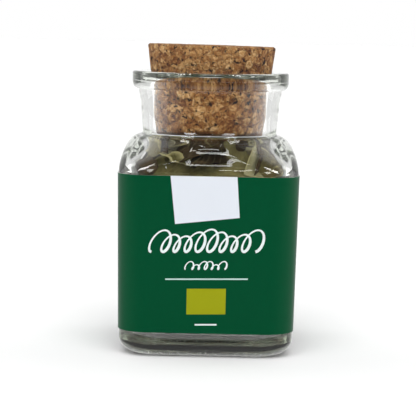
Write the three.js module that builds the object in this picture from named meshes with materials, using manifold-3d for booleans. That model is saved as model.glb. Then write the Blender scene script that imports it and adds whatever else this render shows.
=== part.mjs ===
// A corked spice jar: a square glass jar with a round neck and a flanged lip, a tapered cork in
// its mouth, a paper label wrapped round its body, and a filling of dried curry leaves.
// Millimetres, +Z up, the front of the label facing -Y, the origin under the middle of the base.

import * as THREE from "three";
import { mergeVertices } from "three/addons/utils/BufferGeometryUtils.js";
import Module from "manifold-3d";

const wasm = await Module();
wasm.setup();

// Jar, outside: half widths across the flats, and heights above the table
const HEEL_HALF = 25.1;
const BODY_HALF = 25.8;
const HEEL_RISE = 5;
const BODY_TOP = 53;
const BODY_ROUNDNESS = 0.33; // corner radius as a share of the half width
const PUSH_UP = 1.5;
const BEARING_RING = [16.5, 19.9]; // the flat ring that the jar stands on
const SHOULDER_HALF = 20.5; // where the shoulder turns up into the neck
const SHOULDER_TOP = 62.4;
const NECK_FOOT = { radius: 19.85, height: 63.4 };
const NECK_TOP = { radius: 20.7, height: 75.3 };
const LIP_RADIUS = 23.1;
const LIP_UNDERSIDE = { half: 21.1, height: 75.8, rise: 2.2 };
const LIP_EDGE = 0.7;
const JAR_HEIGHT = 81;

// Jar, inside
const WALL = 3.2;
const FLOOR = 4.5;
const FLOOR_DOME = 1;
const CAVITY_HEEL = 4.5;
const BORE_RADIUS = 16.9;
const CAVITY_SHOULDER = [52, 65]; // heights between which the wall closes in to the bore
const MOUTH_FLARE = 3.5;

// Cork: it tapers outside the jar and is squeezed to the bore inside it
const CORK_LENGTH = 25;
const CORK_TOP = 88.8;
const CORK_RADIUS = { bottom: 15.8, bore: 16.6, mouth: 17, lip: 17.9, top: 18.85 };
const CORK_EDGE = 0.45;

// Label
const LABEL_BOTTOM = 7.3;
const LABEL_HEIGHT = 45;
const LABEL_THICKNESS = 0.2;
const LABEL_GAP = 0.1; // between the paper and the glass
const LABEL_BACK_OPENING = 12; // left open where the two ends of the paper don't meet

// Leaves: lengths in millimetres, angles in radians, each drawn evenly between two limits
const LEAF_SEED = 28;
const LEAF_LENGTH = [22, 32];
const LEAF_WIDTH = [11, 15];
const LEAF_BEND = [0.3, 1.3]; // turn of the midrib from stalk to tip
const LEAF_FOLD = [0.1, 0.65]; // rise of each half from the midrib
const LEAF_LEAN = 0.4;
const LEAF_THICKNESS = 0.8;
const LEAF_STATIONS = 4;
const LEAF_DEPTH = [2, 7]; // of a leaf's middle behind the glass
const LEAF_CLEARANCE = 0.4;
const TIERS = { count: 6, leaves: 8, lowest: 10.5, spacing: 9.2 };
const TOP_LEAVES = { count: 9, height: 59.5, reach: 11 };
const FLOOR_LEAVES = { count: 7, height: 7.6, reach: 12 };
const HEAP_TOP = 62.6;
const HEAP_ROUND = 60; // height above which the heap is round
const HEAP_SLIVER = 0.02; // finer slivers than this, where leaves cross, are closed up
const HEAP_CORE = { radius: 9, bottom: 9, top: 56, sides: 8 };

// Fineness
const CORNER_STEPS = 12; // points on each quarter of a section
const ARC_STEPS = 4;
const SHOULDER_STEPS = 6;
const CORK_SIDES = 48;

const { clamp, lerp, smoothstep } = THREE.MathUtils;

// Corner radius of the jar's section at a height, as a share of its half width: 1 is a circle.
function roundness(z) {
  return lerp(BODY_ROUNDNESS, 1, smoothstep(z, CAVITY_SHOULDER[0], SHOULDER_TOP));
}

// Half width of the straight body outside, which widens slightly upwards.
function bodyHalf(z) {
  return lerp(HEEL_HALF, BODY_HALF, (z - HEEL_RISE) / (BODY_TOP - HEEL_RISE));
}

// Half width of the hollow inside: a round heel, the straight wall, then the shoulder and the bore.
function cavityHalf(z) {
  const wall = bodyHalf(Math.min(z, BODY_TOP)) - WALL;
  const heel = clamp((FLOOR + CAVITY_HEEL - z) / CAVITY_HEEL, 0, 1);
  const closing = smoothstep(z, ...CAVITY_SHOULDER);
  return lerp(wall, BORE_RADIUS, closing) - CAVITY_HEEL * (1 - Math.sqrt(1 - heel * heel));
}

// A rounded square at a height, anticlockwise from the +X side.
function section(half, z) {
  const corner = half * roundness(z);
  const points = [];
  for (let quarter = 0; quarter < 4; quarter++) {
    for (let step = 0; step < CORNER_STEPS; step++) {
      const angle = (quarter + (step + 0.5) / CORNER_STEPS) * (Math.PI / 2);
      const towards = (quarter + 0.5) * (Math.PI / 2);
      const centre = (half - corner) * Math.SQRT2;
      points.push(
        new THREE.Vector3(
          centre * Math.cos(towards) + corner * Math.cos(angle),
          centre * Math.sin(towards) + corner * Math.sin(angle),
          z,
        ),
      );
    }
  }
  return points;
}

function geometryOf(points, triangles) {
  return new THREE.BufferGeometry().setFromPoints(points).setIndex(triangles);
}

// A closed body through the sections of a profile, whose first and last points lie on the axis.
function loft(profile) {
  const rings = profile.slice(1, -1).map((p) => section(p.x, p.y));
  const count = rings[0].length;
  const points = rings.flat();
  const first = points.push(new THREE.Vector3(0, 0, profile[0].y)) - 1;
  const last = points.push(new THREE.Vector3(0, 0, profile.at(-1).y)) - 1;
  const triangles = [];
  for (let k = 0; k < count; k++) {
    const next = (k + 1) % count;
    triangles.push(first, next, k);
    for (let ring = 1; ring < rings.length; ring++) {
      const below = (ring - 1) * count;
      const above = ring * count;
      triangles.push(below + k, below + next, above + next);
      triangles.push(below + k, above + next, above + k);
    }
    const end = (rings.length - 1) * count;
    triangles.push(end + k, end + next, last);
  }
  return geometryOf(points, triangles);
}

// Points of a quarter turn in the profile's plane, from one angle to another in quarter turns.
function arc(x, y, radiusX, radiusY, from, to, steps = ARC_STEPS) {
  const start = (from * Math.PI) / 2;
  const end = (to * Math.PI) / 2;
  return new THREE.EllipseCurve(x, y, radiusX, radiusY, start, end, to < from).getPoints(steps);
}

function jarGeometry() {
  const [ringInside, ringOutside] = BEARING_RING;
  const heelRun = HEEL_HALF - ringOutside;
  const shoulderRun = BODY_HALF - SHOULDER_HALF;
  const shoulderRise = SHOULDER_TOP - BODY_TOP;
  const fillet = SHOULDER_HALF - NECK_FOOT.radius;
  const filletRise = NECK_FOOT.height - SHOULDER_TOP;
  const lipTurn = LIP_RADIUS - LIP_UNDERSIDE.half;
  const lipSide = LIP_UNDERSIDE.height + LIP_UNDERSIDE.rise;
  const mouth = BORE_RADIUS + MOUTH_FLARE;
  const point = (x, y) => new THREE.Vector2(x, y);
  const outside = [
    ...arc(0, 0, ringInside, PUSH_UP, 1, 0),
    ...arc(ringOutside, HEEL_RISE, heelRun, HEEL_RISE, -1, 0),
    ...arc(SHOULDER_HALF, BODY_TOP, shoulderRun, shoulderRise, 0, 1, SHOULDER_STEPS),
    ...arc(SHOULDER_HALF, NECK_FOOT.height, fillet, filletRise, -1, -2, 2).slice(1),
    point(NECK_TOP.radius, NECK_TOP.height),
    ...arc(LIP_UNDERSIDE.half, lipSide, lipTurn, LIP_UNDERSIDE.rise, -1, 0),
    ...arc(LIP_RADIUS - LIP_EDGE, JAR_HEIGHT - LIP_EDGE, LIP_EDGE, LIP_EDGE, 0, 1, 3),
  ];
  const cavity = [];
  for (let step = 0; step <= SHOULDER_STEPS; step++) {
    cavity.push(lerp(CAVITY_SHOULDER[1], CAVITY_SHOULDER[0], step / SHOULDER_STEPS));
  }
  for (let step = 0; step <= ARC_STEPS; step++) {
    const turn = (step / ARC_STEPS) * (Math.PI / 2);
    cavity.push(FLOOR + CAVITY_HEEL * (1 - Math.sin(turn)));
  }
  const inside = [
    ...arc(mouth, JAR_HEIGHT - MOUTH_FLARE, MOUTH_FLARE, MOUTH_FLARE, 1, 2, 5),
    ...cavity.map((z) => point(cavityHalf(z), z)),
    point(0, FLOOR + FLOOR_DOME),
  ];
  return loft([...outside, ...inside]);
}

function corkGeometry() {
  const bottom = CORK_TOP - CORK_LENGTH;
  const boreTop = JAR_HEIGHT - MOUTH_FLARE;
  const profile = [
    [0, bottom],
    [CORK_RADIUS.bottom - CORK_EDGE, bottom],
    [CORK_RADIUS.bottom, bottom + CORK_EDGE],
    [CORK_RADIUS.bore, lerp(bottom, boreTop, 0.5)],
    [CORK_RADIUS.bore, boreTop],
    [CORK_RADIUS.mouth, lerp(boreTop, JAR_HEIGHT, 0.55)],
    [CORK_RADIUS.lip, JAR_HEIGHT],
    [CORK_RADIUS.top, CORK_TOP - CORK_EDGE],
    [CORK_RADIUS.top - CORK_EDGE, CORK_TOP],
    [0, CORK_TOP],
  ];
  const points = profile.map(([x, y]) => new THREE.Vector2(x, y));
  return new THREE.LatheGeometry(points, CORK_SIDES).rotateX(Math.PI / 2);
}

// A strip of paper round the front and both sides, with its two ends on the back.
function labelGeometry() {
  const levels = [LABEL_BOTTOM, LABEL_BOTTOM + LABEL_HEIGHT];
  const [inner, outer] = [LABEL_GAP, LABEL_GAP + LABEL_THICKNESS].map((offset) =>
    levels.map((z) => {
      const half = bodyHalf(z) + offset;
      const round = section(half, z).reverse();
      const start = 3 * CORNER_STEPS;
      const wrapped = [...round.slice(start), ...round.slice(0, start)];
      const back = (x) => new THREE.Vector3(x, wrapped[0].y, z);
      return [back(LABEL_BACK_OPENING / 2), ...wrapped, back(-LABEL_BACK_OPENING / 2)];
    }),
  );
  const loop = [outer[0], outer[1], inner[1], inner[0]];
  const columns = loop[0].length;
  const triangles = [];
  for (let side = 0; side < 4; side++) {
    const here = side * columns;
    const there = ((side + 1) % 4) * columns;
    for (let k = 0; k < columns - 1; k++) {
      triangles.push(here + k, there + k, there + k + 1);
      triangles.push(here + k, there + k + 1, here + k + 1);
    }
  }
  const [a, b, c, d] = [0, 1, 2, 3].map((side) => side * columns);
  triangles.push(a, c, b, a, d, c);
  const end = columns - 1;
  triangles.push(a + end, b + end, c + end, a + end, c + end, d + end);
  return geometryOf(loop.flat(), triangles);
}

// Even draws between two limits, the same on every run.
let drawState = LEAF_SEED;
function draw([low, high]) {
  drawState = (drawState * 16807) % 2147483647;
  return lerp(low, high, drawState / 2147483647);
}

// Moves a point into the heap's space, to a clearance from its sides, and gives the way out to the
// nearest side. The space closes in along straight slopes inside the jar's curved shoulder, so that
// a flat stretch of leaf between two points doesn't cut the glass.
function keepInside(p, clearance) {
  p.z = clamp(p.z, FLOOR + FLOOR_DOME + clearance, HEAP_TOP - clearance);
  const [slopeFoot] = CAVITY_SHOULDER;
  const closing = clamp((p.z - slopeFoot) / (HEAP_TOP - slopeFoot), 0, 1);
  const rounding = clamp((p.z - slopeFoot) / (HEAP_ROUND - slopeFoot), 0, 1);
  const half = lerp(cavityHalf(Math.min(p.z, slopeFoot)), BORE_RADIUS, closing) - clearance;
  const corner = half * lerp(BODY_ROUNDNESS, 1, rounding);
  const flat = half - corner;
  const past = new THREE.Vector2(Math.max(Math.abs(p.x) - flat, 0), Math.max(Math.abs(p.y) - flat, 0));
  const way = new THREE.Vector3(past.x * Math.sign(p.x), past.y * Math.sign(p.y), 0).normalize();
  past.clampLength(0, corner);
  p.x = Math.sign(p.x) * (Math.min(Math.abs(p.x), flat) + past.x);
  p.y = Math.sign(p.y) * (Math.min(Math.abs(p.y), flat) + past.y);
  return way;
}

// Rows of three points across a leaf, margin, midrib and margin, from its stalk to its tip. It is
// bent in a boat's curve and folded up along the midrib, and each end row closes to one point.
function leafRows(length, width, bend, fold) {
  const rows = [];
  for (let k = 0; k <= LEAF_STATIONS; k++) {
    const t = k / LEAF_STATIONS;
    const turn = bend * (t - 0.5);
    const along = (length * Math.sin(turn)) / bend;
    const rise = (length * (1 - Math.cos(turn))) / bend;
    const half = k === LEAF_STATIONS ? 0 : (width / 2) * Math.sin(Math.PI * t ** 0.85) ** 0.7;
    const margin = (side) =>
      new THREE.Vector3(along, side * half * Math.cos(fold), rise + half * Math.sin(fold));
    rows.push([margin(-1), new THREE.Vector3(along, 0, rise), margin(1)]);
  }
  return rows;
}

// A leaf of even thickness round rows of points that are already in place.
function leafSolid(rows) {
  const last = rows.length - 1;
  const upper = [];
  const lower = [];
  rows.forEach((row, k) => {
    row.forEach((p, column) => {
      const side = k % last === 0 ? 1 : column;
      const near = rows[clamp(k, 1, last - 1)];
      const along = rows[Math.min(k + 1, last)][side].clone().sub(rows[Math.max(k - 1, 0)][side]);
      const across = near[Math.min(side + 1, 2)].clone().sub(near[Math.max(side - 1, 0)]);
      const offset = along.cross(across).setLength(LEAF_THICKNESS / 2);
      upper.push(p.clone().add(offset));
      lower.push(p.clone().sub(offset));
    });
  });
  const under = upper.length;
  const triangles = [];
  const quad = (a, b, c, d) => triangles.push(a, b, c, a, c, d);
  for (let here = 0; here < 3 * last; here += 3) {
    const next = here + 3;
    for (const side of [0, 1]) {
      const [a, b, c, d] = [here + side, next + side, next + side + 1, here + side + 1];
      quad(a, b, c, d);
      quad(under + a, under + d, under + c, under + b);
    }
    quad(next, here, under + here, under + next);
    quad(here + 2, next + 2, under + next + 2, under + here + 2);
  }
  return solidOf(geometryOf([...upper, ...lower], triangles));
}

// Draws one leaf's size and shape and lays it at a place, facing a way.
function layLeaf(centre, facing) {
  const rows = leafRows(draw(LEAF_LENGTH), draw(LEAF_WIDTH), draw(LEAF_BEND), draw(LEAF_FOLD));
  const up = Math.abs(facing.z) > 0.5 ? new THREE.Vector3(0, 1, 0) : new THREE.Vector3(0, 0, 1);
  const across = up.clone().cross(facing).normalize();
  const turned = draw([0, 1]) < 0.5 ? 0 : Math.PI;
  const lay = new THREE.Matrix4()
    .makeBasis(across, facing.clone().cross(across), facing)
    .multiply(new THREE.Matrix4().makeRotationX(turned + draw([-LEAF_LEAN, LEAF_LEAN])))
    .multiply(new THREE.Matrix4().makeRotationY(draw([-LEAF_LEAN, LEAF_LEAN])))
    .multiply(new THREE.Matrix4().makeRotationZ(draw([0, 2 * Math.PI])));
  for (const p of rows.flat()) {
    p.applyMatrix4(lay).add(centre);
    keepInside(p, LEAF_CLEARANCE + LEAF_THICKNESS / 2);
  }
  return leafSolid(rows);
}

// Tiers of leaves against the glass, each tier turned by half a step, and a few lying flat on the
// floor and on top of the heap.
function heapOfLeaves() {
  const leaves = [];
  for (let tier = 0; tier < TIERS.count; tier++) {
    for (let k = 0; k < TIERS.leaves; k++) {
      const angle = ((k + tier / 2 + draw([-0.2, 0.2])) / TIERS.leaves) * 2 * Math.PI;
      const height = TIERS.lowest + TIERS.spacing * (tier + draw([-0.3, 0.3]));
      const square = cavityHalf(height) / Math.max(Math.abs(Math.cos(angle)), Math.abs(Math.sin(angle)));
      const centre = new THREE.Vector3(square * Math.cos(angle), square * Math.sin(angle), height);
      const facing = keepInside(centre, draw(LEAF_DEPTH));
      leaves.push(layLeaf(centre, facing));
    }
  }
  for (const layer of [FLOOR_LEAVES, TOP_LEAVES]) {
    for (let k = 0; k < layer.count; k++) {
      const angle = ((k + draw([-0.3, 0.3])) / layer.count) * 2 * Math.PI;
      const reach = layer.reach * draw([0.3, 1]);
      const centre = new THREE.Vector3(reach * Math.cos(angle), reach * Math.sin(angle), layer.height);
      leaves.push(layLeaf(centre, new THREE.Vector3(0, 0, 1)));
    }
  }
  return leaves;
}

// The leaves grown together into one body round the middle of the heap, without any loose scrap.
function leavesGeometry() {
  const { radius, bottom, top, sides } = HEAP_CORE;
  const core = new THREE.CylinderGeometry(radius, radius, top - bottom, sides).rotateX(Math.PI / 2);
  core.translate(0, 0, (top + bottom) / 2);
  const heap = wasm.Manifold.union([solidOf(core), ...heapOfLeaves()]).asOriginal();
  const bodies = heap.simplify(HEAP_SLIVER).decompose();
  bodies.sort((a, b) => b.volume() - a.volume());
  const { vertProperties, triVerts } = bodies[0].getMesh();
  return new THREE.BufferGeometry()
    .setAttribute("position", new THREE.BufferAttribute(vertProperties, 3))
    .setIndex(new THREE.BufferAttribute(triVerts, 1));
}

// A closed mesh as a solid, with its shared points merged and its flattened faces left out.
function solidOf(geometry) {
  const plain = new THREE.BufferGeometry().setAttribute("position", geometry.getAttribute("position"));
  const merged = mergeVertices(plain.setIndex(geometry.index), 1e-4);
  const corners = merged.index.array;
  const kept = [];
  for (let k = 0; k < corners.length; k += 3) {
    const [a, b, c] = corners.subarray(k, k + 3);
    if (a !== b && b !== c && c !== a) kept.push(a, b, c);
  }
  const vertProperties = new Float32Array(merged.attributes.position.array);
  const triVerts = new Uint32Array(kept);
  return new wasm.Manifold(new wasm.Mesh({ numProp: 3, vertProperties, triVerts }));
}

const spiceJar = new THREE.Group();

function addPiece(name, geometry, finish) {
  const piece = new THREE.Mesh(geometry, new THREE.MeshStandardMaterial({ metalness: 0, ...finish }));
  piece.name = name;
  spiceJar.add(piece);
}

addPiece("glass_jar", jarGeometry(), {
  color: 0xdfe8e2,
  roughness: 0.05,
  transparent: true,
  opacity: 0.3,
});
addPiece("cork_stopper", corkGeometry(), { color: 0x916a42, roughness: 0.85 });
addPiece("paper_label", labelGeometry(), { color: 0x01492c, roughness: 0.55 });
addPiece("dried_leaves", leavesGeometry(), { color: 0x4c452a, roughness: 0.8 });

export default spiceJar;
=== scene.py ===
"""A corked glass spice jar of dried curry leaves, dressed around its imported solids."""

from math import atan2, cos, hypot, pi, radians, sin, sqrt, tan

import bpy
import numpy as np
from mathutils import Matrix, Vector, noise


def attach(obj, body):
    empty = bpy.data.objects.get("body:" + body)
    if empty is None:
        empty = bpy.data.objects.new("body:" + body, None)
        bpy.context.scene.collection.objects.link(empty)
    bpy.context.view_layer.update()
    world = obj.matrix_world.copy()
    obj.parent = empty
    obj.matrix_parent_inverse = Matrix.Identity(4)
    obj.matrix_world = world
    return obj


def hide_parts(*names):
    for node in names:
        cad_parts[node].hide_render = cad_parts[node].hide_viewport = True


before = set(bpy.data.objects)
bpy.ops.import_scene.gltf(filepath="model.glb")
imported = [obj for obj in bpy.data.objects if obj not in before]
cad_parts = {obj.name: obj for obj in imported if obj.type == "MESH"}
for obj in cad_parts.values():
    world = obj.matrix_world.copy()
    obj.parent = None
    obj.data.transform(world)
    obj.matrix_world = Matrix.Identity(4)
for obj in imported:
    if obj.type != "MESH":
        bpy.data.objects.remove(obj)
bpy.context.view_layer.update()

# Glass jar: soda-lime glass blown in a mould, square below with soft corners and round above,
# with a fire-polished flange round the mouth and a pushed-up base. The body, the neck and the
# inside are one wall, so it is drawn as rings from under the base, over the lip, to the floor.
MM = 0.001
JAR_SIDES = 200
BODY_FOOT, BODY_TOP = 5.0, 53.0
FOOT_HALF, TOP_HALF = 25.1, 25.8
BODY_ROUNDNESS = 0.33
SHOULDER_FOOT, SHOULDER_TOP = 52, 62.4
PUSH_UP_HALF, PUSH_UP_RISE = 16.5, 1.5
FOOT_ROUND, SHOULDER_ROUND = 5.2, 5.3
BORE_RADIUS, BORE_FOOT = 16.9, 65
WALL = 3.2
CAVITY_HEEL = 4.5
FLOOR_HALF, FLOOR_EDGE, FLOOR_POLE = 17.4, 4.5, 5.5
HEEL_TOP = FLOOR_EDGE + CAVITY_HEEL
STIPPLE_END, STIPPLE_FADE = 1.4, 0.3


def between(low, high, share):
    return low + (high - low) * share


def eased(value, start, end):
    share = min(max((value - start) / (end - start), 0), 1)
    return share * share * (3 - 2 * share)


def curved(centre, reach, start, end, steps):
    """Stations (half width, height) along a quarter of an oval, angles in degrees."""
    turns = [radians(between(start, end, step / steps)) for step in range(steps + 1)]
    return [(centre[0] + reach[0] * cos(t), centre[1] + reach[1] * sin(t)) for t in turns]


def body_half(height):
    return between(FOOT_HALF, TOP_HALF, (height - BODY_FOOT) / (BODY_TOP - BODY_FOOT))


def cavity_half(height):
    wall = body_half(min(height, BODY_TOP)) - WALL
    heel = min(max((HEEL_TOP - height) / CAVITY_HEEL, 0), 1)
    opened = between(wall, BORE_RADIUS, eased(height, SHOULDER_FOOT, BORE_FOOT))
    return opened - CAVITY_HEEL * (1 - sqrt(1 - heel * heel))


def roundness(height):
    return between(BODY_ROUNDNESS, 1, eased(height, SHOULDER_FOOT, SHOULDER_TOP))


def new_piece(name):
    piece = bpy.context.object
    piece.name = piece.data.name = name
    return piece


def draw_rings(name, stations, sides):
    """A closed turned shape: a small disc drawn out through the stations, in millimetres."""
    half, height = stations[0]
    bpy.ops.object.select_all(action="DESELECT")
    bpy.ops.mesh.primitive_circle_add(
        vertices=sides, radius=half * MM, fill_type="TRIFAN", location=(0, 0, height * MM)
    )
    piece = new_piece(name)
    bpy.ops.object.transform_apply(location=True, rotation=False, scale=False)
    bpy.ops.object.mode_set(mode="EDIT")
    bpy.ops.mesh.select_all(action="SELECT")
    for new_half, new_height in stations[1:]:
        rise = (0, 0, (new_height - height) * MM)
        bpy.ops.mesh.extrude_region_move(TRANSFORM_OT_translate={"value": rise})
        grown = new_half / half
        bpy.ops.transform.resize(
            value=(grown, grown, 1), center_override=(0, 0, new_height * MM)
        )
        half, height = new_half, new_height
    bpy.ops.mesh.select_all(action="SELECT")
    bpy.ops.mesh.normals_make_consistent(inside=False)
    bpy.ops.object.mode_set(mode="OBJECT")
    return piece


def points_of(piece):
    flat = np.empty(len(piece.data.vertices) * 3)
    piece.data.vertices.foreach_get("co", flat)
    return flat.reshape(-1, 3)


def move_points(piece, points):
    piece.data.vertices.foreach_set("co", np.asarray(points).ravel())
    piece.data.update()


def rounded_square(half, corner, share):
    """The point at a share of the way round a square with round corners, as (x, y)."""
    flat = half - corner
    quarter, along = divmod(share * 4, 1)
    walked = along * (2 * flat + corner * pi / 2)
    bend = min(max((walked - flat) / corner, 0), pi / 2)
    x = flat + corner * cos(bend) - max(walked - flat - corner * pi / 2, 0)
    y = min(walked, flat) + corner * sin(bend)
    turn = quarter * pi / 2
    return x * cos(turn) - y * sin(turn), x * sin(turn) + y * cos(turn)


def square_up(piece):
    """Turns round sections into the jar's rounded square ones, each as round as its height asks."""
    points = points_of(piece)
    for point in points:
        half, height = hypot(point[0], point[1]), point[2] / MM
        if half > 0:
            share = atan2(point[1], point[0]) / (2 * pi) % 1
            point[:2] = rounded_square(half, half * roundness(height), share)
    move_points(piece, points)


def smooth(piece, angle):
    bpy.ops.object.select_all(action="DESELECT")
    piece.select_set(True)
    bpy.context.view_layer.objects.active = piece
    bpy.ops.object.shade_smooth_by_angle(angle=radians(angle))


push_up = curved((0, 0), (PUSH_UP_HALF, PUSH_UP_RISE), 88, 0, 10)
heel = curved((FOOT_HALF - FOOT_ROUND, BODY_FOOT), (FOOT_ROUND, BODY_FOOT), -90, 0, 12)
flats = [(body_half(z), z) for z in (12, 20, 28, 36, 44)]
shoulder_reach = (SHOULDER_ROUND, SHOULDER_TOP - BODY_TOP)
shoulder = curved((TOP_HALF - SHOULDER_ROUND, BODY_TOP), shoulder_reach, 0, 90, 36)
neck_root = curved((20.5, 63.4), (0.65, 1), -98, -180, 6)
neck = [(20.1, 67), (20.45, 71.5), (21.1, 75.3)]
flange = curved((21.1, 78), (2, 2.2), -90, 0, 9) + curved((22.4, 80.3), (0.7, 0.7), 0, 90, 7)
outside = push_up + heel + flats + shoulder + neck_root + neck + flange

mouth = curved((20.4, 77.5), (3.5, 3.5), 90, 180, 9)
bore = [(BORE_RADIUS, z) for z in (74, 70, 67)]
hollow_heights = [*np.linspace(BORE_FOOT, SHOULDER_FOOT, 36), 44, 36, 28, 20, 12]
hollow_heights += [HEEL_TOP - CAVITY_HEEL * sin(radians(turn)) for turn in range(0, 91, 10)]
hollow = [(cavity_half(z), z) for z in hollow_heights]
hollow_floor = [
    (between(FLOOR_HALF, 0, share), between(FLOOR_EDGE, FLOOR_POLE, share))
    for share in (0.25, 0.5, 0.75, 0.95)
]
inside = mouth + bore + hollow + hollow_floor
glass_jar = draw_rings("clear_glass_jar", outside + inside, JAR_SIDES)
square_up(glass_jar)
smooth(glass_jar, 35)


class Shade:
    """A value in a material's node tree. Arithmetic on it adds Math nodes."""

    def __init__(self, tree, socket=None):
        self.tree = tree
        self.socket = socket

    def node(self, kind, inputs=None, output=0, stops=(), **settings):
        """Adds a node: its settings and ramp stops, then the values or links of its sockets."""
        made = self.tree.nodes.new("ShaderNode" + kind)
        for name, value in settings.items():
            setattr(made, name, value)
        if stops:
            marks = made.color_ramp.elements
            marks.remove(marks[1])
            marks[0].position, marks[0].color = stops[0]
            for place, colour in stops[1:]:
                marks.new(place).color = colour
        for name, value in (inputs or {}).items():
            if isinstance(value, Shade):
                self.tree.links.new(value.socket, made.inputs[name])
            else:
                made.inputs[name].default_value = value
        return Shade(self.tree, made.outputs[output])

    def other_output(self, output):
        """Another output of the node that gave this value."""
        return Shade(self.tree, self.socket.node.outputs[output])

    def maths(self, operation, other, swapped=False, clamped=False):
        first, second = (other, self) if swapped else (self, other)
        values = {0: first, 1: second}
        return self.node("Math", values, operation=operation, use_clamp=clamped)

    def __add__(self, other):
        return self.maths("ADD", other)

    def __sub__(self, other):
        return self.maths("SUBTRACT", other)

    def __rsub__(self, other):
        return self.maths("SUBTRACT", other, swapped=True)

    def __mul__(self, other):
        return self.maths("MULTIPLY", other)

    def __truediv__(self, other):
        return self.maths("DIVIDE", other)

    __radd__ = __add__
    __rmul__ = __mul__

    def ramp(self, start, end):
        """0 below start, 1 above end and straight between them."""
        return (self - start).maths("DIVIDE", end - start, clamped=True)

    def blend(self, under, over, how="MIX"):
        """This value lays the colour over on the colour under."""
        colours = {0: self, 6: under, 7: over}
        return self.node("Mix", colours, 2, data_type="RGBA", blend_type=how)


def paint(red, green, blue):
    """A screen colour, 0 to 255, as the linear colour that the sockets take."""
    shares = [value / 255 for value in (red, green, blue)]
    linear = [s / 12.92 if s <= 0.04045 else ((s + 0.055) / 1.055) ** 2.4 for s in shares]
    return (*linear, 1)


def new_finish(piece, name):
    """A material on the piece. Gives its nodes, its place in metres, and the surface shader."""
    finish = bpy.data.materials.new(name)
    finish.use_nodes = True
    piece.data.materials.clear()
    piece.data.materials.append(finish)
    tree = finish.node_tree
    nodes = Shade(tree)
    place = nodes.node("TexCoord", output="Object")
    surface = tree.nodes["Principled BSDF"]
    return nodes, place, surface


def set_surface(surface, **sockets):
    for name, value in sockets.items():
        socket = surface.inputs[name.replace("_", " ")]
        if isinstance(value, Shade):
            value.tree.links.new(value.socket, socket)
        else:
            socket.default_value = value


nodes, place, surface = new_finish(glass_jar, "blown_clear_glass")
ripple = nodes.node("TexNoise", {"Vector": place, "Scale": 55.0, "Detail": 1.5})
height = nodes.node("SeparateXYZ", {"Vector": place}, "Z")
stipple = nodes.node("TexVoronoi", {"Vector": place, "Scale": 1300.0}, "Distance")
stippled = 1 - height.ramp(STIPPLE_END * MM, (STIPPLE_END + STIPPLE_FADE) * MM)
set_surface(
    surface,
    Base_Color=(1, 1, 1, 1),
    Roughness=stippled * (0.05 + stipple * 0.3),
    IOR=1.5,
    Transmission_Weight=1.0,
    Normal=nodes.node("Bump", {"Strength": 0.04, "Distance": 0.0006, "Height": ripple}),
)
wall_tint = nodes.node("VolumeAbsorption", {"Color": (0.74, 0.765, 0.71, 1), "Density": 38.0})
wall_output = nodes.tree.nodes["Material Output"]
nodes.tree.links.new(wall_tint.socket, wall_output.inputs["Volume"])
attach(glass_jar, "root")
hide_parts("glass_jar")

# Dried curry leaflets: whole, thin, bent and rolled as they dried, poured loose into the jar.
# One flat blade is modelled. Each leaf is a copy of it that is bent, folded and laid by rule, at
# the wall, on the floor or on top, or one by one where it shows at the front, all inside the glass.
LEAF_SEED = 28
SEED_STEP, SEED_LIMIT = 16807, 2147483647
LEAF_LENGTH, LEAF_WIDTH = (22, 32), (11, 15)
LEAF_BEND, LEAF_FOLD = (0.3, 1.3), (0.1, 0.65)
LEAF_LEAN = (-0.4, 0.4)
LEAF_DEPTH = (2, 7)
LEAF_BLADE, LEAF_CLEARANCE = 0.26, 0.35
LEAF_TEETH, TOOTH_DEPTH, STALK_HALF = 13, 0.05, 0.35
HEAP_TOP, HEAP_ROUND = 62.6, 60
ALONG, ACROSS = 18, 8
FRONT_CLEAR = 50
# Rule leaves high up at the front take painted shade: their tones are scaled by SHADED_TONES, the
# rest by OPEN_TONES.
SHADED_FROM, SHADED_BACK = 44, 6
SHADED_TONES, OPEN_TONES, TONE_STEP = 0.12, 0.8, 0.618

bpy.ops.object.select_all(action="DESELECT")
bpy.ops.mesh.primitive_grid_add(x_subdivisions=ALONG, y_subdivisions=ACROSS, size=1)
blade = new_piece("leaf_blade")
blade_grid = points_of(blade)[:, :2] + 0.5


def seeded_shares(state):
    while True:
        state = state * SEED_STEP % SEED_LIMIT
        yield state / SEED_LIMIT


leaf_shares = seeded_shares(LEAF_SEED)


def draw(limits):
    return between(*limits, next(leaf_shares))


def keep_inside(point, clearance):
    """Moves a point inside the glass, and gives the way outwards from the jar's axis there."""
    point.z = min(max(point.z, FLOOR_POLE + clearance), HEAP_TOP - clearance)
    risen = max(point.z - SHOULDER_FOOT, 0)
    closing = min(risen / (HEAP_TOP - SHOULDER_FOOT), 1)
    rounding = min(risen / (HEAP_ROUND - SHOULDER_FOOT), 1)
    half = between(cavity_half(min(point.z, SHOULDER_FOOT)), BORE_RADIUS, closing) - clearance
    corner = half * between(BODY_ROUNDNESS, 1, rounding)
    flat = half - corner
    past = Vector((max(abs(point.x) - flat, 0), max(abs(point.y) - flat, 0)))
    sides = [1 if value >= 0 else -1 for value in (point.x, point.y)]
    way = Vector((past.x * sides[0], past.y * sides[1], 0)).normalized()
    if past.length > corner:
        past *= corner / past.length
    point.x = sides[0] * (min(abs(point.x), flat) + past.x)
    point.y = sides[1] * (min(abs(point.y), flat) + past.y)
    return way


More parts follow.
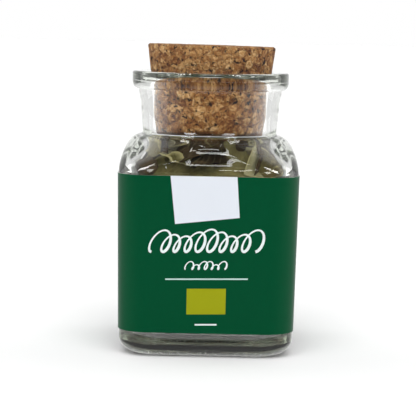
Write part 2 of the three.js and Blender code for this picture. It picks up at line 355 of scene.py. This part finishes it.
def shape_blade(length, width, bend, fold, roll):
    """The blade's points: toothed, bent along, folded at the midrib and rolled across."""
    shaped = []
    for lengthwise, crosswise in blade_grid:
        turn = bend * (lengthwise - 0.5)
        along = length * sin(turn) / bend
        rise = length * (1 - cos(turn)) / bend
        leaf_edge = width / 2 * max(sin(pi * min(lengthwise, 0.995) ** 0.85), 0) ** 0.7
        side = 2 * crosswise - 1
        teeth = 1 + TOOTH_DEPTH * abs(side) ** 3 * sin(2 * pi * LEAF_TEETH * lengthwise)
        half = max(leaf_edge * teeth, STALK_HALF)
        curl = roll * abs(side)
        reach = half * (sin(curl) / curl if curl else 1) * abs(side)
        lift = half * (1 - cos(curl)) / curl * abs(side) if curl else 0
        across = reach * cos(fold) - lift * sin(fold)
        up = reach * sin(fold) + lift * cos(fold)
        shaped.append(Vector((along, across if side > 0 else -across, rise + up)))
    return shaped


leaf_pieces = []


def add_leaf(shaped, turn, centre, tone_and_shade):
    """A copy of the blade in the given shape, turned, put at its centre and kept inside."""
    points = []
    for point in shaped:
        point = turn @ point + centre
        keep_inside(point, LEAF_CLEARANCE + LEAF_BLADE / 2)
        points.append(point * MM)
    leaf = blade.copy()
    leaf.data = blade.data.copy()
    bpy.context.collection.objects.link(leaf)
    move_points(leaf, points)
    leaf_tone_and_shade = leaf.data.attributes.new("leaf_tone_and_shade", "FLOAT", "POINT")
    leaf_tone_and_shade.data.foreach_set("value", [tone_and_shade] * len(points))
    leaf_pieces.append(leaf)


def lay_leaf(centre, facing, roll=0.0):
    """A leaf by rule, of drawn size and turn, left out where it would show in the shoulder."""
    length, width, bend, fold = map(draw, (LEAF_LENGTH, LEAF_WIDTH, LEAF_BEND, LEAF_FOLD))
    upright = Vector((0, 1, 0)) if abs(facing.z) > 0.5 else Vector((0, 0, 1))
    across = upright.cross(facing).normalized()
    basis = Matrix((across, facing.cross(across), facing)).transposed()
    turned = 0 if draw((0, 1)) < 0.5 else pi
    turn = (
        Matrix.Rotation(turned + draw(LEAF_LEAN), 3, "X")
        @ Matrix.Rotation(draw(LEAF_LEAN), 3, "Y")
        @ Matrix.Rotation(draw((0, 2 * pi)), 3, "Z")
    )
    if facing.y < -0.5 and centre.z > FRONT_CLEAR:
        return
    shaped = shape_blade(length, width, bend, fold, roll)
    # Painted shade: rule leaves high at the front get far darker tones, for the shade inside the
    # heap around the leaves in view.
    shaded = centre.z > SHADED_FROM and centre.y < SHADED_BACK
    tone_and_shade = len(leaf_pieces) * TONE_STEP % 1 * (SHADED_TONES if shaded else OPEN_TONES)
    add_leaf(shaped, basis @ turn, centre, tone_and_shade)


def lay_wall_leaves(tiers, count, lowest, spacing, depth, roll=0.0):
    for tier in range(tiers):
        for leaf in range(count):
            angle = (leaf + tier / 2 + draw((-0.2, 0.2))) / count * 2 * pi
            height = lowest + spacing * (tier + draw((-0.3, 0.3)))
            square = cavity_half(height) / max(abs(cos(angle)), abs(sin(angle)))
            centre = Vector((square * cos(angle), square * sin(angle), height))
            facing = keep_inside(centre, draw(depth))
            lay_leaf(centre, facing, roll)


def lay_flat_leaves(count, height, reach, roll=0.0):
    for leaf in range(count):
        angle = (leaf + draw((-0.3, 0.3))) / count * 2 * pi
        out = reach * draw((0.3, 1))
        lay_leaf(Vector((out * cos(angle), out * sin(angle), height)), Vector((0, 0, 1)), roll)


def lay_by_hand(across, out, height, heading, pitch, twist, size, bend, fold, roll, tone_and_shade):
    """A leaf in view: heading 0 lies along X, twist 90 faces the front. Angles in degrees."""
    turn = (
        Matrix.Rotation(radians(heading), 3, "Z")
        @ Matrix.Rotation(radians(-pitch), 3, "Y")
        @ Matrix.Rotation(radians(twist), 3, "X")
    )
    shaped = shape_blade(*size, bend, fold, roll)
    add_leaf(shaped, turn, Vector((across, -out, height)), tone_and_shade)


lay_wall_leaves(6, 8, 10.5, 9.2, LEAF_DEPTH)
lay_flat_leaves(7, 7.6, 12)
lay_flat_leaves(9, 59.5, 11)
lay_wall_leaves(6, 6, 12, 9.2, (5, 11), 1.2)
lay_flat_leaves(7, 50, 14, 2.2)
lay_flat_leaves(7, 48, 16, 0.8)
lay_flat_leaves(8, 8.5, 16, 1.0)
lay_flat_leaves(9, 6.6, 17, 0.3)
lay_flat_leaves(5, 6.4, 8, 0.3)
# The leaves that show through the front of the shoulder
lay_by_hand(5, 14.5, 54.8, 5, 3, 50, (31, 14), -0.7, 0.1, 0.3, 0.6)
lay_by_hand(13.5, 14, 53.2, -16, 8, 56, (25, 12), -0.9, 0.2, 0.6, 0.42)
lay_by_hand(17.5, 8.5, 54.8, 62, 4, 56, (26, 13), -0.6, 0.3, 0.4, 0.9)
lay_by_hand(-12, 11, 57.6, -10, -8, 35, (27, 12), -0.6, 0.2, 0.5, 0.95)
lay_by_hand(-14.8, 9, 54.6, -100, 5, 0, (24, 15), 0.3, 0.1, 2.7, 0.5)
lay_by_hand(-6, 15.5, 52.4, 3, -3, 64, (24, 10), -0.5, 0.2, 0.5, 0.6)
lay_by_hand(1, 8, 59.6, 12, 0, 24, (27, 12), -0.5, 0.2, 0.4, 0.3)
lay_by_hand(11, 6, 59.2, -24, 5, 30, (24, 12), -0.6, 0.2, 0.5, 0.42)
lay_by_hand(-7, 4, 60.4, 30, 3, 16, (25, 12), -0.4, 0.2, 0.3, 0.12)
lay_by_hand(17, -3, 56, 84, 0, 40, (26, 12), -0.6, 0.2, 0.6, 0.36)
lay_by_hand(-17, -3, 56, 96, 4, -40, (26, 12), 0.6, -0.2, 0.6, 0.22)

bpy.data.objects.remove(blade)
bpy.ops.object.select_all(action="DESELECT")
for leaf in leaf_pieces:
    leaf.select_set(True)
bpy.context.view_layer.objects.active = leaf_pieces[0]
bpy.ops.object.join()
leaves = new_piece("whole_dried_leaflets")


def add_modifier(piece, kind, **settings):
    modifier = piece.modifiers.new(kind.lower(), kind)
    for name, value in settings.items():
        setattr(modifier, name, value)
    bpy.context.view_layer.objects.active = piece
    bpy.ops.object.modifier_apply(modifier=modifier.name)


add_modifier(leaves, "SOLIDIFY", thickness=LEAF_BLADE * MM, offset=0)
smooth(leaves, 50)

nodes, place, surface = new_finish(leaves, "dried_leaf_blade")
along_across = nodes.node("TexCoord", output="UV")
leaf_along = nodes.node("SeparateXYZ", {"Vector": along_across})
leaf_across = leaf_along.other_output("Y")
from_midrib = (leaf_across - 0.5).maths("ABSOLUTE", 0) * 2
midrib = 1 - from_midrib.ramp(0.02, 0.07)
rib_phase = ((leaf_along - from_midrib * 0.22) * 11.0).maths("FRACT", 0)
rib = 1 - (rib_phase - 0.5).maths("ABSOLUTE", 0).ramp(0.03, 0.12)
# Each leaf's own tone, darkened as painted shade for the rule leaves high at the front.
tone_and_shade = nodes.node("Attribute", output="Fac", attribute_name="leaf_tone_and_shade")
blotch = nodes.node("TexNoise", {"Vector": place, "Scale": 220.0, "Detail": 6.0})
grain = nodes.node("TexNoise", {"Vector": place, "Scale": 1600.0, "Detail": 3.0})
leaf_colour = nodes.node(
    "ValToRGB",
    {0: tone_and_shade * 0.75 + blotch * 0.5 - 0.12},
    stops=(
        (0.0, paint(16, 14, 8)),
        (0.25, paint(76, 60, 34)),
        (0.5, paint(98, 90, 50)),
        (0.75, paint(132, 126, 82)),
        (1.0, paint(206, 202, 164)),
    ),
)
veined = (midrib * 0.5 + rib * 0.16).blend(leaf_colour, paint(146, 140, 96))
margin = from_midrib.ramp(0.86, 0.96) * tone_and_shade.ramp(0.1, 0.4)
veined = (margin * 0.6).blend(veined, paint(206, 196, 140))
set_surface(
    surface,
    Base_Color=(grain * 0.5).blend(veined, paint(60, 50, 30), "MULTIPLY"),
    Roughness=0.6,
    IOR=1.22,
    Normal=nodes.node(
        "Bump",
        {"Strength": 0.7, "Distance": 0.0004, "Height": midrib + rib * 0.5 + grain * 0.4 + blotch},
    ),
)
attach(leaves, "root")
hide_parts("dried_leaves")

# Cork stopper: cork granules pressed and glued, cut as a taper and pushed into the neck, where
# the rim of the bore squeezes it. Its side is pitted where granules broke out as it was ground.
CORK_SIDES = 180
CORK_TOP, CORK_LENGTH = 88.8, 25
CORK_FOOT_HALF, CORK_GRIP_HALF, CORK_HEAD_HALF = 15.8, 16.6, 18.85
CORK_EDGE, CORK_POLE, CORK_STEP = 0.45, 0.6, 0.75
CORK_LEAN, CORK_GRIP = 0.7, 73
GRANULE, BROKEN_SPREAD, GRAIN = 2.4, 1.9, 0.8
DEEPEST_PIT = 0.5
cork_bottom = CORK_TOP - CORK_LENGTH
cork_side = [
    (CORK_FOOT_HALF - CORK_EDGE, cork_bottom),
    (CORK_FOOT_HALF, cork_bottom + CORK_EDGE),
    (CORK_GRIP_HALF, 69.0),
    (CORK_GRIP_HALF, 76.6),
    (17, 79.0),
    (17.9, 81),
    (CORK_HEAD_HALF, CORK_TOP - CORK_EDGE),
    (CORK_HEAD_HALF - CORK_EDGE, CORK_TOP),
]


def divided(stations, step):
    """The stations with more between them, no further apart than the step."""
    finer = [stations[0]]
    for (half, height), (next_half, next_height) in zip(stations, stations[1:]):
        parts = max(int(hypot(next_half - half, next_height - height) / step), 1)
        for part in range(1, parts + 1):
            share = part / parts
            finer.append((between(half, next_half, share), between(height, next_height, share)))
    return finer


cork_profile = [(CORK_POLE, cork_bottom), *cork_side, (CORK_POLE, CORK_TOP)]
cork_stations = divided(cork_profile, CORK_STEP)
cork = draw_rings("pressed_cork_stopper", cork_stations, CORK_SIDES)
cork_points = points_of(cork)
cork_lean = Matrix.Rotation(radians(CORK_LEAN), 3, "Y")
grip = Vector((0, 0, CORK_GRIP * MM))
for point in cork_points:
    spot = Vector(point)
    outwards = Vector((spot.x, spot.y, 0)).normalized()
    cell = noise.voronoi(spot / (GRANULE * MM))[0]
    broken = max(noise.noise(spot / (BROKEN_SPREAD * MM)) - 0.22, 0) * 1.3
    seam = max(0.16 - (cell[1] - cell[0]), 0) * 0.9
    grain_depth = broken + seam + 0.06 * abs(noise.noise(spot / (GRAIN * MM)))
    on_top = spot.z > (CORK_TOP - CORK_EDGE / 2) * MM
    depth = min(grain_depth, DEEPEST_PIT) * MM
    spot -= Vector((0, 0, depth)) if on_top else outwards * depth
    point[:] = cork_lean @ (spot - grip) + grip
move_points(cork, cork_points)
smooth(cork, 60)

nodes, place, surface = new_finish(cork, "pressed_cork_granules")
wander = nodes.node("TexNoise", {"Vector": place, "Scale": 700.0, "Detail": 4.0}, "Color")
warped = nodes.node("VectorMath", {0: wander, 1: (0.0011,) * 3}, operation="MULTIPLY")
warped = nodes.node("VectorMath", {0: place, 1: warped}, operation="ADD")
granule = nodes.node("TexVoronoi", {"Vector": warped, "Scale": 520.0}, "Color")
crumb = nodes.node("TexVoronoi", {"Vector": warped, "Scale": 1250.0}, "Color")
seam = nodes.node(
    "TexVoronoi", {"Vector": warped, "Scale": 520.0}, "Distance", feature="DISTANCE_TO_EDGE"
)
granule_tone = nodes.node("SeparateXYZ", {"Vector": granule})
crumb_tone = nodes.node("SeparateXYZ", {"Vector": crumb})
fine = nodes.node("TexNoise", {"Vector": place, "Scale": 1900.0, "Detail": 6.0})
pit = nodes.node("TexNoise", {"Vector": warped, "Scale": 760.0, "Detail": 3.0})
speck = nodes.node("TexNoise", {"Vector": warped, "Scale": 1700.0, "Detail": 2.0})
pitted = pit.ramp(0.6, 0.66).maths("MAXIMUM", speck.ramp(0.66, 0.71))
cork_colour = nodes.node(
    "ValToRGB",
    {0: granule_tone * 0.5 + crumb_tone * 0.4 + fine * 0.8 - 0.34},
    stops=(
        (0.0, paint(78, 40, 14)),
        (0.28, paint(132, 80, 36)),
        (0.5, paint(166, 116, 62)),
        (0.72, paint(192, 146, 88)),
        (1.0, paint(224, 186, 132)),
    ),
)
seam_dark = (1 - seam.ramp(0.0, 0.12)) * fine.ramp(0.4, 0.62)
seamed = seam_dark.blend(cork_colour, paint(84, 48, 24))
set_surface(
    surface,
    Base_Color=pitted.blend(seamed, paint(36, 20, 12)),
    Roughness=0.85,
    Normal=nodes.node(
        "Bump",
        {"Strength": 0.9, "Distance": 0.0005, "Height": seam.ramp(0, 0.2) * 0.4 + fine - pitted},
    ),
)
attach(cork, "root")
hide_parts("cork_stopper")

# Paper label: one strip of coated paper, bare white on its inner side, wrapped round the body
# and glued, with its two ends short of meeting at the back. It is printed green, with a white
# field, a pale rule and a yellow-green field on the front, all slightly out of square.
LABEL_BOTTOM, LABEL_TOP = 7.3, 52.3
LABEL_GAP, LABEL_PAPER = 0.1, 0.2
LABEL_BACK_HALF = 6
PRINT_TILT, PRINT_EDGE = tan(radians(1.2)), 0.06
FRONT_DEPTH = 24.5
WHITE_LEFT, WHITE_RIGHT, WHITE_FOOT = -10.7, 8.1, 39.7
LEFT_SLANT, RIGHT_SLANT, FOOT_SLANT = 0.11, 0.078, 0.115
YELLOW_HALF, YELLOW_FOOT, YELLOW_TOP = 5.55, 12.9, 20.3
RULE_HALF, RULE_FOOT, RULE_TOP = 11.7, 22.85, 23.25

bpy.ops.object.select_all(action="DESELECT")
label_foot = body_half(LABEL_BOTTOM) + LABEL_GAP
bpy.ops.mesh.primitive_circle_add(
    vertices=JAR_SIDES, radius=label_foot * MM, location=(0, 0, LABEL_BOTTOM * MM)
)
label = new_piece("green_paper_label")
bpy.ops.object.transform_apply(location=True, rotation=False, scale=False)
bpy.ops.object.mode_set(mode="EDIT")
bpy.ops.mesh.select_all(action="SELECT")
label_grown = (body_half(LABEL_TOP) + LABEL_GAP) / label_foot
bpy.ops.mesh.extrude_region_move(
    TRANSFORM_OT_translate={"value": (0, 0, (LABEL_TOP - LABEL_BOTTOM) * MM)}
)
bpy.ops.transform.resize(
    value=(label_grown, label_grown, 1), center_override=(0, 0, LABEL_TOP * MM)
)
bpy.ops.mesh.select_all(action="SELECT")
bpy.ops.mesh.normals_make_consistent(inside=False)
bpy.ops.object.mode_set(mode="OBJECT")
square_up(label)
for edge in (-LABEL_BACK_HALF, LABEL_BACK_HALF):
    bpy.ops.object.mode_set(mode="EDIT")
    bpy.ops.mesh.select_all(action="SELECT")
    bpy.ops.mesh.bisect(plane_co=(edge * MM, 0, 0), plane_no=(1, 0, 0))
    bpy.ops.object.mode_set(mode="OBJECT")
bpy.ops.object.mode_set(mode="EDIT")
bpy.ops.mesh.select_mode(type="FACE")
bpy.ops.mesh.select_all(action="DESELECT")
bpy.ops.object.mode_set(mode="OBJECT")
for face in label.data.polygons:
    face.select = face.center.y > 0 and abs(face.center.x) < LABEL_BACK_HALF * MM
bpy.ops.object.mode_set(mode="EDIT")
bpy.ops.mesh.delete(type="FACE")
bpy.ops.object.mode_set(mode="OBJECT")
label_skin = len(label.data.vertices)
add_modifier(label, "SOLIDIFY", thickness=LABEL_PAPER * MM, offset=1)
inner_skin = len(label.data.vertices) - label_skin
bare_back = label.data.attributes.new("bare_back", "FLOAT", "POINT")
bare_back.data.foreach_set("value", [0.0] * label_skin + [1.0] * inner_skin)
smooth(label, 30)

nodes, place, surface = new_finish(label, "printed_green_paper")
place_across = nodes.node("SeparateXYZ", {"Vector": place})
across_mm = place_across * (1 / MM)
depth_mm = place_across.other_output("Y") * (1 / MM)
height_mm = place_across.other_output("Z") * (1 / MM)
on_front = 1 - depth_mm.ramp(-FRONT_DEPTH - 0.1, -FRONT_DEPTH + 0.1)


def above(value, line):
    """1 where the value lies above the line and 0 below it, with the soft edge of print."""
    return (value - line).ramp(-PRINT_EDGE, PRINT_EDGE)


below_top = LABEL_TOP - height_mm
white_field = (
    on_front
    * above(across_mm, WHITE_LEFT + below_top * LEFT_SLANT)
    * (1 - above(across_mm, WHITE_RIGHT + below_top * RIGHT_SLANT))
    * above(height_mm, WHITE_FOOT + across_mm * FOOT_SLANT)
)
level = height_mm - across_mm * PRINT_TILT
from_middle = across_mm.maths("ABSOLUTE", 0)
yellow_rows = above(level, YELLOW_FOOT) * (1 - above(level, YELLOW_TOP))
yellow_field = on_front * (1 - above(from_middle, YELLOW_HALF)) * yellow_rows
rule_rows = above(level, RULE_FOOT) * (1 - above(level, RULE_TOP))
rule = on_front * (1 - above(from_middle, RULE_HALF)) * rule_rows
fibre = nodes.node("TexNoise", {"Vector": place, "Scale": 900.0, "Detail": 4.0})
green = (fibre * 0.5).blend(paint(0, 80, 48), paint(0, 70, 42))
printed = white_field.blend(green, paint(233, 238, 246))
printed = yellow_field.blend(printed, paint(160, 164, 22))
printed = rule.blend(printed, paint(200, 228, 222))
back = nodes.node("Attribute", output="Fac", attribute_name="bare_back")
printed = back.blend(printed, paint(244, 244, 240))
set_surface(
    surface,
    Base_Color=printed,
    Roughness=0.32,
    IOR=1.17,
    Normal=nodes.node("Bump", {"Strength": 0.1, "Distance": 0.0001, "Height": fibre}),
)
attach(label, "root")
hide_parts("paper_label")

# Printed flourish: two runs of plain pen loops across the front and a short rule near the foot,
# in thick white ink that stands slightly proud of the paper.
INK_HALF = 0.03
LOOP_STEPS, LOOP_WIDTH = 28, 0.62


def ink_line(name, path, pen):
    """A line of ink on the label's front: (across, level height) in millimetres."""
    curve = bpy.data.curves.new(name, "CURVE")
    curve.dimensions = "3D"
    curve.bevel_depth = 1.0
    curve.bevel_resolution = 2
    curve.use_fill_caps = True
    line = curve.splines.new("POLY")
    line.points.add(len(path) - 1)
    for knot, (across, level_height, width) in zip(line.points, path):
        knot.co = (across * MM, 0, (level_height + across * PRINT_TILT) * MM, 1)
        knot.radius = width * pen / 2 * MM
    drawn = bpy.data.objects.new(name, curve)
    bpy.context.collection.objects.link(drawn)
    bpy.ops.object.select_all(action="DESELECT")
    drawn.select_set(True)
    bpy.context.view_layer.objects.active = drawn
    bpy.ops.object.convert(target="MESH")
    ink = new_piece(name)
    points = points_of(ink)
    for point in points:
        paper = -(body_half(point[2] / MM) + LABEL_GAP + LABEL_PAPER) * MM
        pen_half = pen / 2 * MM
        point[1] = paper + point[1] / pen_half * INK_HALF * MM
    move_points(ink, points)
    return ink


def pen_loops(start, end, foot, loops, tall, swell, slant):
    """A run of pen loops that stand on one foot line: (across, height, pen pressure)."""
    path = []
    for step in range(loops * LOOP_STEPS + 1):
        turns = step / LOOP_STEPS
        share = turns / loops
        size = tall + swell * cos(4 * pi * share)
        height = foot + size * (1 - cos(2 * pi * turns))
        lean = slant * (height - foot - tall)
        across = between(start, end, share) - LOOP_WIDTH * size * sin(2 * pi * turns) + lean
        path.append((across, height, 0.8 + 0.25 * cos(2 * pi * turns + 0.8)))
    return path


large_loops = pen_loops(-14.8, 14.6, foot=30.9, loops=9, tall=2.7, swell=0.5, slant=0.35)
small_loops = pen_loops(-5.7, 5.3, foot=25.9, loops=6, tall=0.95, swell=0.3, slant=0.3)
short_rule = [(between(-3.1, 3.1, step / 24), 9.9, 1.0) for step in range(25)]
flourish = (
    ink_line("pen_loop_flourish", large_loops, pen=0.8),
    ink_line("small_pen_loops", small_loops, pen=0.5),
    ink_line("short_pen_rule", short_rule, pen=0.45),
)
for ink in flourish:
    smooth(ink, 60)
    nodes, place, surface = new_finish(ink, "thick_white_ink")
    speck = nodes.node("TexNoise", {"Vector": place, "Scale": 1200.0, "Detail": 3.0})
    set_surface(
        surface,
        Base_Color=speck.blend(paint(226, 240, 238), paint(248, 252, 252)),
        Roughness=0.5,
        IOR=1.3,
    )
    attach(ink, "root")

# Studio: a plain pale floor in a white room, bright behind the jar and at its sides and dark in
# front and overhead, with its own light for what lies behind the glass. The glass mirrors the
# softboxes and ceiling tubes. Only the glass shows the black card behind the foot: painted shade,
# standing in for the shadowed floor behind the jar as seen through the base.
SHADOW_CARD_BEHIND, SHADOW_CARD_WIDTH, SHADOW_CARD_HEIGHT = 0.029, 0.054, 0.0075
THROUGH_SHARE, INSIDE_FILL, INSIDE_KEY = 0.05, 0.2, 2.3
WALL_BOUNCES = 40
LAMP_AIM = Vector((0, 0, 0.05))
CAMERA_PLACE, CAMERA_LENS = (0, -0.460, 0.093), 134.2
CAMERA_DIP, CAMERA_ROLL = 6.52, 1.2


def grey(level):
    return (level, level, level, 1)


bpy.ops.object.select_all(action="DESELECT")
bpy.ops.mesh.primitive_plane_add(size=24)
floor = new_piece("pale_floor")
nodes, place, surface = new_finish(floor, "pale_floor_paper")
mottle = nodes.node("TexNoise", {"Vector": place, "Scale": 3.0})
set_surface(
    surface,
    Base_Color=mottle.blend(paint(250, 250, 250), paint(254, 254, 254)),
    Roughness=0.9,
    IOR=1.01,
)
floor.visible_glossy = False

# Painted shade: a black card that only the glass shows, for the shadowed floor behind the foot.
bpy.ops.mesh.primitive_plane_add(size=1, location=(0, SHADOW_CARD_BEHIND, SHADOW_CARD_HEIGHT / 2))
shadow_card = new_piece("painted_shade_card_behind_the_foot")
shadow_card.rotation_euler = (pi / 2, 0, 0)
shadow_card.scale = (SHADOW_CARD_WIDTH, SHADOW_CARD_HEIGHT, 1)
shadow_card.visible_camera = shadow_card.visible_glossy = shadow_card.visible_diffuse = False
nodes, place, surface = new_finish(shadow_card, "painted_shade_card")
set_surface(surface, Base_Color=grey(0.02), Roughness=0.9)

world = bpy.data.worlds.new("soft_white_room")
bpy.context.scene.world = world
world.use_nodes = True
room = Shade(world.node_tree)
direction = room.node("TexCoord", output="Generated")
towards_front = room.node(
    "VectorMath", {0: direction, 1: (0, -0.8, 0.6)}, "Value", operation="DOT_PRODUCT"
)
seen = room.node("LightPath", output="Is Camera Ray")
through = room.node("LightPath", output="Is Transmission Ray")
room_light = room.node(
    "ValToRGB",
    {0: towards_front * 0.5 + 0.5},
    stops=(
        (0.1, grey(1.0)),
        (0.2, grey(0.82)),
        (0.62, grey(0.82)),
        (0.76, grey(0.08)),
        (0.84, grey(0.03)),
    ),
)
veil = through * THROUGH_SHARE * towards_front.ramp(0.1, 0.6)
lifted = veil.blend(room_light, grey(0.9))
scattered = room.node("LightPath", output="Diffuse Depth").maths("MINIMUM", 1)
from_above = room.node(
    "VectorMath", {0: direction, 1: (-0.25, -0.55, 0.8)}, "Value", operation="DOT_PRODUCT"
)
inside_light = INSIDE_FILL + from_above.maths("MAXIMUM", 0) * INSIDE_KEY
lit_inside = (through * scattered).blend(lifted, inside_light)
glow = seen.blend(lit_inside, grey(1))
backdrop = world.node_tree.nodes["Background"]
world.node_tree.links.new(glow.socket, backdrop.inputs["Color"])
backdrop.inputs["Strength"].default_value = 1.0


def add_light(name, kind, azimuth, elevation, distance, **settings):
    """A lamp aimed at the middle of the jar. Azimuth 0 is the front."""
    turn, rise = radians(azimuth), radians(elevation)
    bpy.ops.object.select_all(action="DESELECT")
    bpy.ops.object.light_add(type=kind)
    lamp = bpy.context.object
    lamp.name = name
    away = Vector((sin(turn) * cos(rise), -cos(turn) * cos(rise), sin(rise)))
    lamp.location = LAMP_AIM + away * distance
    lamp.rotation_euler = away.to_track_quat("Z", "Y").to_euler()
    for setting, value in settings.items():
        setattr(lamp.data, setting, value)
    return lamp


def add_softbox(name, azimuth, elevation, distance, size, energy):
    wide, tall = size
    return add_light(
        name, "AREA", azimuth, elevation, distance,
        shape="RECTANGLE", size=wide, size_y=tall, energy=energy,
    )


for side in (-1, 1):
    window = add_softbox("window_softbox", side * 42, 40, 0.9, (0.3, 0.26), 4.4)
    window.visible_diffuse = False
    add_softbox("side_softbox", side * 105, 12, 1.0, (0.7, 0.7), 1.6)
for azimuth, elevation, length in ((-3, 56, 0.11), (4, 40, 0.08)):
    tube = add_softbox("ceiling_tube", azimuth, elevation, 0.9, (length, 0.05), 0.16)
    tube.visible_diffuse = False
overhead = add_light("overhead_glow", "SUN", 0, 58, 2.0, energy=2.5, angle=radians(60))
overhead.visible_glossy = overhead.visible_transmission = False

bpy.ops.object.camera_add(location=CAMERA_PLACE)
camera = bpy.context.object
dipped = Matrix.Rotation(radians(90 - CAMERA_DIP), 3, "X")
rolled = Matrix.Rotation(radians(CAMERA_ROLL), 3, "Z")
camera.rotation_euler = (dipped @ rolled).to_euler()
camera.data.lens, camera.data.sensor_width = CAMERA_LENS, 36
camera.data.clip_start, camera.data.clip_end = 0.01, 60
bpy.context.scene.camera = camera
bpy.context.scene.view_settings.view_transform = "Standard"
light_paths = bpy.context.scene.cycles
light_paths.max_bounces = light_paths.transmission_bounces = WALL_BOUNCES
light_paths.glossy_bounces = WALL_BOUNCES
